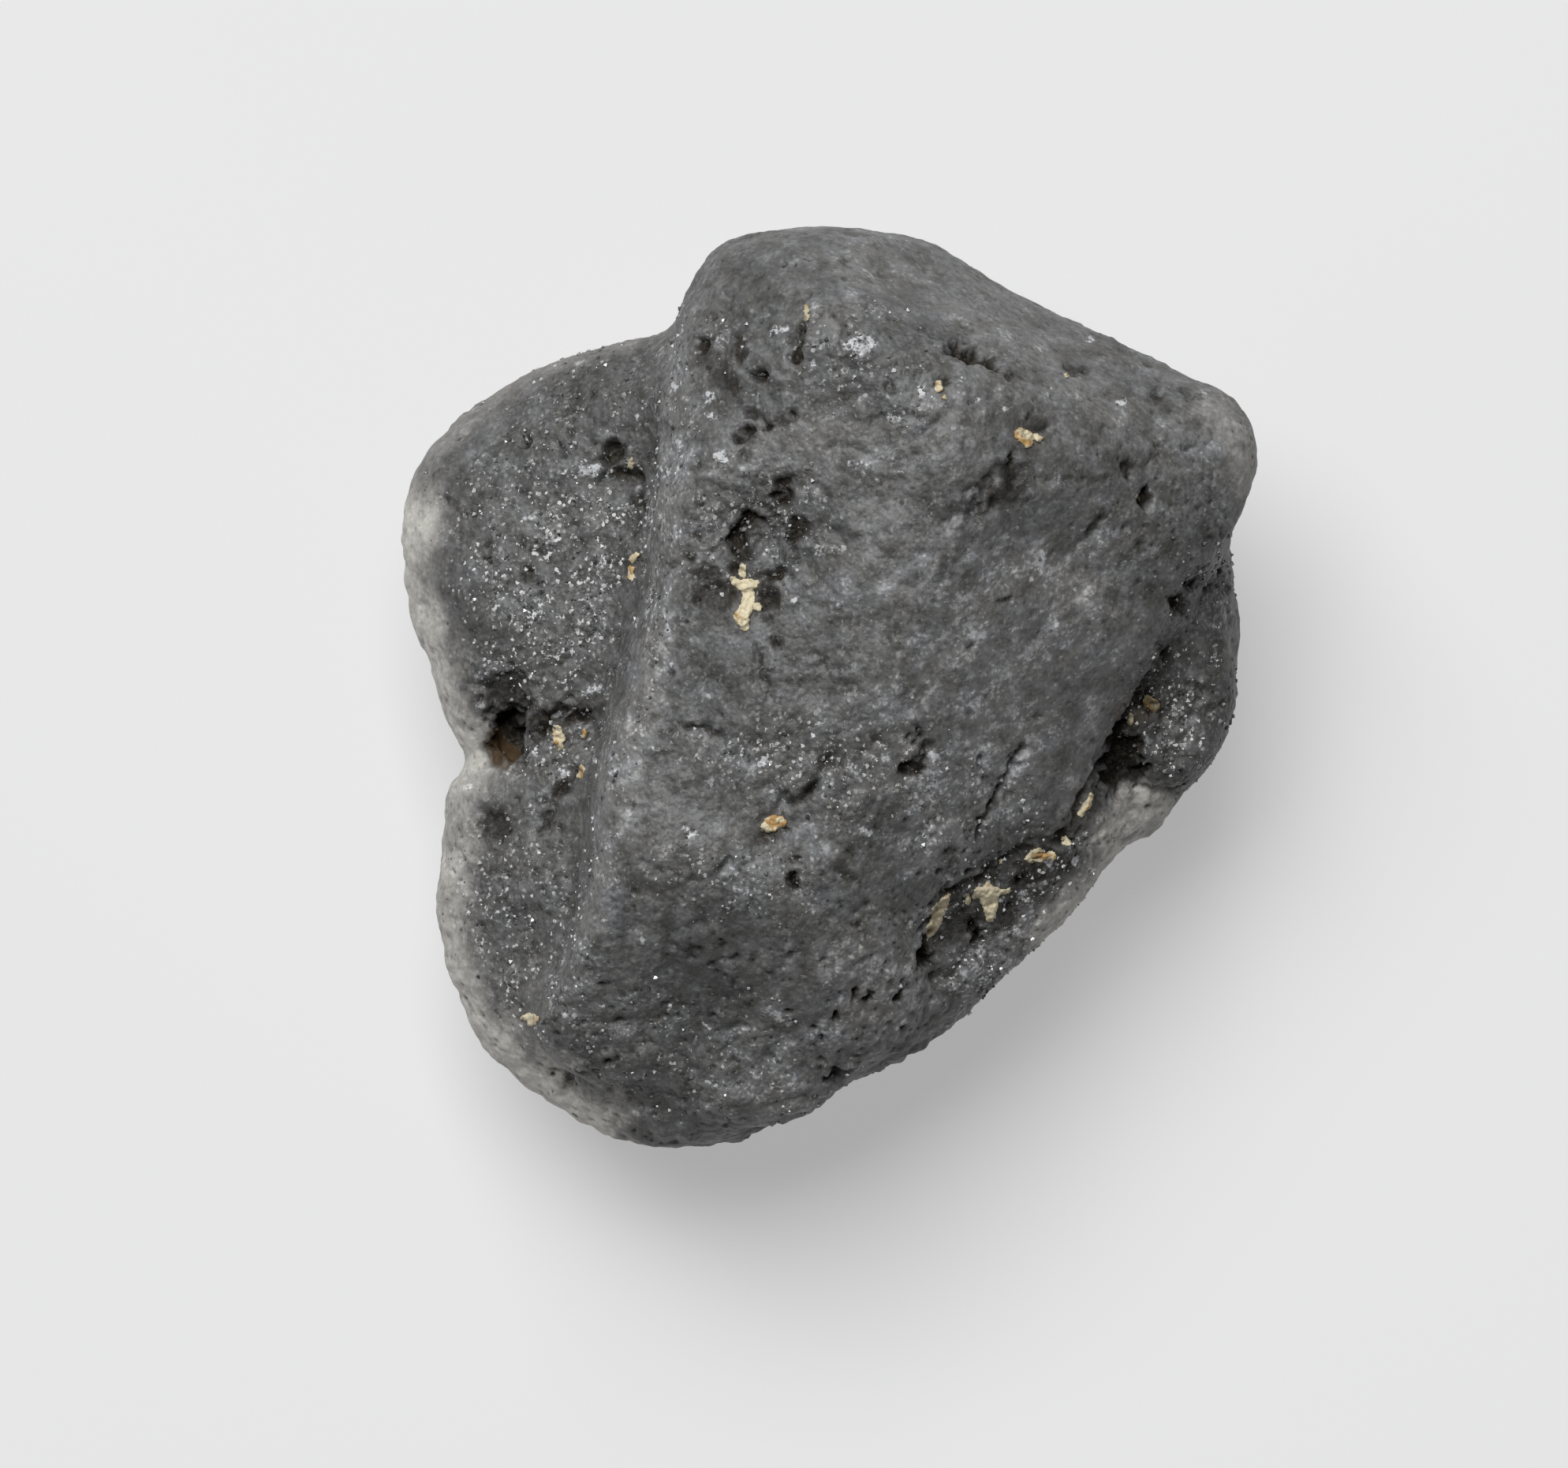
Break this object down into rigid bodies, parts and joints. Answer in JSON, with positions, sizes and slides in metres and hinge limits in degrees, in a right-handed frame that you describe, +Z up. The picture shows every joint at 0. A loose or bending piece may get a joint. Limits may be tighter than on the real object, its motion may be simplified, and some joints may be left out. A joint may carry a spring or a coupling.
{
  "type": "rough diamond",
  "caption": "Dark grey rough diamond of intergrown crystals: a tall ridge across the middle, thin pale-edged lobes beside a notch, lower shoulders, and a flat face to rest on.",
  "frame": {"origin": "in the plane of the flat resting face, under the middle of the stone's outline seen from above", "axes": "+Z up from the resting face, +Y along the stone's length towards the tall end of the ridge, +X away from the thin lobes"},
  "size_m": [0.0112, 0.012, 0.0073],
  "materials": {
    "diamond": "matte, finely granular, with glinting grains"
  },
  "bodies": {
    "root": {"diamond": "diamond"}
  },
  "joints": []
}
